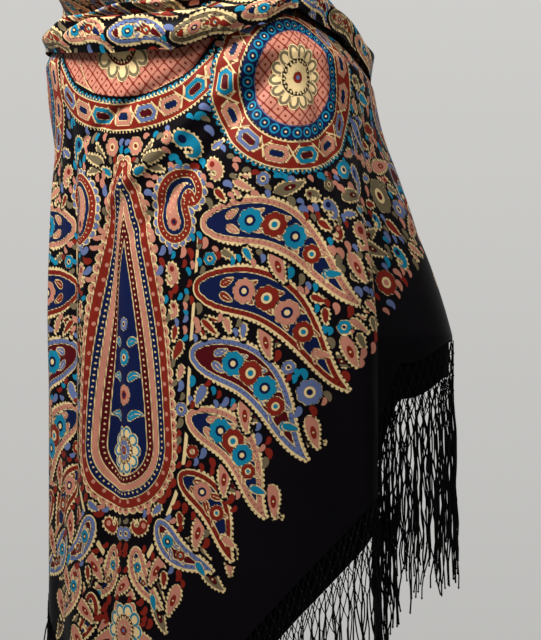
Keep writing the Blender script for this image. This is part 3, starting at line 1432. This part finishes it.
def make_fringe(node, side, under, seed, material):
    """One edge's fringe, in place of the solid's node."""
    random = np.random.default_rng(seed)
    edge, outward = hem_line(side, under)
    run = lengths_along(edge)
    count = int(run[-1] / KNOT_PITCH)

    def place(knot):
        at = np.clip(knot * KNOT_PITCH, 0.002, run[-1] - 0.002)
        point = np.stack([np.interp(at, run, edge[:, axis]) for axis in range(3)], -1)
        way = np.stack([np.interp(at, run, outward[:, axis]) for axis in range(3)], -1)
        ahead = np.cross(way, np.array([0.0, 0.0, 1.0]))
        return point, way / np.linalg.norm(way, axis=-1, keepdims=True), ahead

    rows = []
    stands = 0.0006 if under else 0.0022
    for row in range(NET_ROWS + 1):
        point, way, ahead = place(np.arange(count) + 0.5 + 0.5 * (row % 2))
        drop = NET_DROP * row + random.normal(0, 0.0011, count) * (row > 0)
        sideways = random.normal(0, 0.0009, count) * (row > 0)
        knots = point + way * stands + ahead * sideways[:, None]
        knots[:, 2] -= drop + 0.0004
        rows.append(knots)
    corners, faces, done = [], [], 0

    def add(found):
        nonlocal done
        points, listed = found
        corners.append(points)
        faces.extend([tuple(done + index for index in face) for face in listed])
        done += len(points)

    for row in range(NET_ROWS):
        upper, lower = rows[row], rows[row + 1]
        pairs = [(upper, lower)]
        if row % 2:
            pairs.append((upper[:-1], lower[1:]))
        else:
            pairs.append((upper[1:], lower[:-1]))
        for start, end in pairs:
            share = np.linspace(0, 1, 4)[None, :, None]
            line = start[:, None] + (end - start)[:, None] * share
            line[:, :, 2] -= 0.0012 * np.sin(math.pi * share[..., 0])
            add(tube_mesh(line, np.full(line.shape[:2], THREAD_RADIUS), 3))
        add(knot_mesh(lower, KNOT_RADIUS))
    roots = np.repeat(rows[-1], 2, axis=0)
    ways = np.repeat(place(np.arange(count) + 0.5)[1], 2, axis=0)
    strands = len(roots)
    ahead = np.cross(ways, np.array([0.0, 0.0, 1.0]))
    length = FRINGE_LENGTH - NET_ROWS * NET_DROP + random.normal(0, 0.007, strands)
    down = np.linspace(0, 1, FREE_STEPS)
    lines = roots[:, None] + np.zeros((1, FREE_STEPS, 1))
    lines = lines + ahead[:, None] * smooth_wander(random, strands, FREE_STEPS, 0.0055)[..., None]
    out = 0.0012 + np.abs(smooth_wander(random, strands, FREE_STEPS, 0.0035))
    lines = lines + ways[:, None] * (out * smooth(down * 4))[..., None]
    lines[:, :, 2] -= length[:, None] * down[None]
    radii = np.full(lines.shape[:2], STRAND_RADIUS) * random.uniform(0.8, 1.15, (strands, 1))
    add(tube_mesh(lines, radii, 4))
    add(knot_mesh(lines[:, -1], KNOT_RADIUS * 0.95))
    mesh = bpy.data.meshes.new(f"{node}_strands")
    mesh.from_pydata(np.concatenate(corners).tolist(), [], faces)
    mesh.shade_smooth()
    mesh.materials.append(material)
    obj = bpy.data.objects.new(f"{node}_strands", mesh)
    bpy.context.scene.collection.objects.link(obj)
    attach(obj, "root")
    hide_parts(node)


# The photograph's view: a long lens level with the shawl, from behind and from the +X side

METRES_PER_PIXEL = 0.00104
FRAME_HEIGHT = 640 * METRES_PER_PIXEL
VIEW_AZIMUTH = math.radians(42)
VIEW_DISTANCE = 3.4
VIEW_RIGHT = 0.0733
VIEW_HEIGHT = -0.3952


def make_camera():
    data = bpy.data.cameras.new("camera")
    camera = bpy.data.objects.new("camera", data)
    bpy.context.scene.collection.objects.link(camera)
    right = np.array([math.cos(VIEW_AZIMUTH), math.sin(VIEW_AZIMUTH), 0.0])
    back = np.array([math.sin(VIEW_AZIMUTH), -math.cos(VIEW_AZIMUTH), 0.0])
    place = right * VIEW_RIGHT + back * VIEW_DISTANCE
    camera.location = (place[0], place[1], VIEW_HEIGHT)
    camera.rotation_euler = (math.pi / 2, 0.0, VIEW_AZIMUTH)
    data.sensor_width = 36.0
    data.lens = 36.0 * VIEW_DISTANCE / FRAME_HEIGHT
    data.clip_end = 60.0
    bpy.context.scene.camera = camera


def area_light(name, place, target, size, power):
    data = bpy.data.lights.new(name, "AREA")
    data.shape = "DISK"
    data.size = size
    data.energy = power
    light = bpy.data.objects.new(name, data)
    bpy.context.scene.collection.objects.link(light)
    place, target = np.array(place), np.array(target)
    light.location = place
    away = place - target
    flat = math.hypot(away[0], away[1])
    light.rotation_euler = (math.atan2(flat, away[2]), 0.0, math.atan2(away[0], -away[1]))


def make_stage():
    mesh = bpy.data.meshes.new("floor")
    half = 3.5
    corners = [(-half, -half, -1.45), (half, -half, -1.45), (half, half, -1.45), (-half, half, -1.45)]
    mesh.from_pydata(corners, [], [(0, 1, 2, 3)])
    floor = bpy.data.objects.new("floor", mesh)
    bpy.context.scene.collection.objects.link(floor)
    material, nodes = new_material("pale_floor")[:2]
    nodes["Principled BSDF"].inputs["Base Color"].default_value = (0.62, 0.62, 0.61, 1.0)
    nodes["Principled BSDF"].inputs["Roughness"].default_value = 0.9
    mesh.materials.append(material)
    make_world()
    bpy.context.scene.view_settings.view_transform = "Standard"
    area_light("key", (-0.06, -0.74, 0.62), (0.0, 0.0, -0.10), 0.36, 29.0)
    area_light("rim", (1.50, 0.10, 0.90), (0.1, 0.0, -0.2), 0.6, 16.0)


def make_world():
    """A pale room: full brightness behind the shawl and above, dim on the near side and below."""
    world = bpy.data.worlds.new("studio")
    bpy.context.scene.world = world
    world.use_nodes = True
    nodes, links = world.node_tree.nodes, world.node_tree.links
    background = nodes["Background"]
    background.inputs["Color"].default_value = (0.565, 0.560, 0.545, 1.0)
    way = nodes.new("ShaderNodeTexCoord")
    height = nodes.new("ShaderNodeSeparateXYZ")
    facing = nodes.new("ShaderNodeVectorMath")
    facing.operation = "DOT_PRODUCT"
    facing.inputs[1].default_value = (-math.sin(VIEW_AZIMUTH), math.cos(VIEW_AZIMUTH), 0.0)
    links.new(way.outputs["Generated"], height.inputs["Vector"])
    links.new(way.outputs["Generated"], facing.inputs[0])
    product = nodes.new("ShaderNodeMath")
    product.operation = "MULTIPLY"
    spans = (
        (height.outputs["Z"], (-1.0, 1.0), (0.02, 1.98)),
        (facing.outputs["Value"], (-0.1, 0.9), (0.13, 1.0)),
    )
    for index, (source, span, strengths) in enumerate(spans):
        low, high = span
        scale = add_node(nodes, "ShaderNodeMapRange", From_Min=low, From_Max=high)
        scale.inputs["To Min"].default_value, scale.inputs["To Max"].default_value = strengths
        links.new(source, scale.inputs["Value"])
        links.new(scale.outputs["Result"], product.inputs[index])
    links.new(product.outputs["Value"], background.inputs["Strength"])


def main():
    make_camera()
    make_stage()
    wool_weave, silk_twist = (1500.0, 0.0004, 0.0012), (2200.0, 0.0003, 0.0004)
    printed = cloth_material("printed_wool_cloth", GROUND, wool_weave, (0.80, 1.16), 0.50, 0.05, True)
    plain = cloth_material("black_wool_cloth", GROUND, wool_weave, (0.7, 1.4), 0.70, 0.02)
    silk = cloth_material("black_silk_thread", SILK, silk_twist, (0.6, 1.8), 0.55, 0.05)
    seam = {side: seam_run(side) for side in (-1, 1)}
    ends = {side: half_run(side) for side in (-1, 1)}
    fillers = plan_print()
    uppers = (
        ("upper_cloth_back_far", -seam[-1], -0.16, WIDE_STEP, "upper_cloth_back"),
        ("upper_cloth_back_middle", -0.16, 0.03, CLOSE_STEP, "upper_cloth_back"),
        ("upper_cloth_back_near", 0.03, seam[1], CLOSE_STEP, "upper_cloth_back"),
        ("upper_cloth_right_arm", seam[1], ends[1], CLOSE_STEP, "upper_cloth_right"),
        ("upper_cloth_left_arm", -ends[-1], -seam[-1], WIDE_STEP, "upper_cloth_left"),
    )
    for name, start, end, step, node in uppers:
        make_upper(name, start, end, step, node, printed, fillers)
    make_under("under_cloth_back_sheet", -seam[-1], seam[1], "under_cloth_back", plain)
    make_under("under_cloth_right_arm", seam[1], ends[1], "under_cloth_right", plain)
    make_under("under_cloth_left_arm", -ends[-1], -seam[-1], "under_cloth_left", plain)
    make_top(-ends[-1], ends[1], printed)
    seed = 11
    for layer in ("upper", "under"):
        for way, side in (("right", 1), ("left", -1)):
            make_fringe(f"{layer}_fringe_{way}", side, layer == "under", seed, silk)
            seed += 1


def seam_run(side):
    """Run from the middle of the back to the seam inside the arm's pleat."""
    dense = half_stations()
    run = lengths_along(ring_point(side, dense, 2.0))
    return run[BACK_STEPS + PLEAT_STEPS["over"] + PLEAT_STEPS["outer_turn"] + PLEAT_STEPS["in"] // 2]


main()
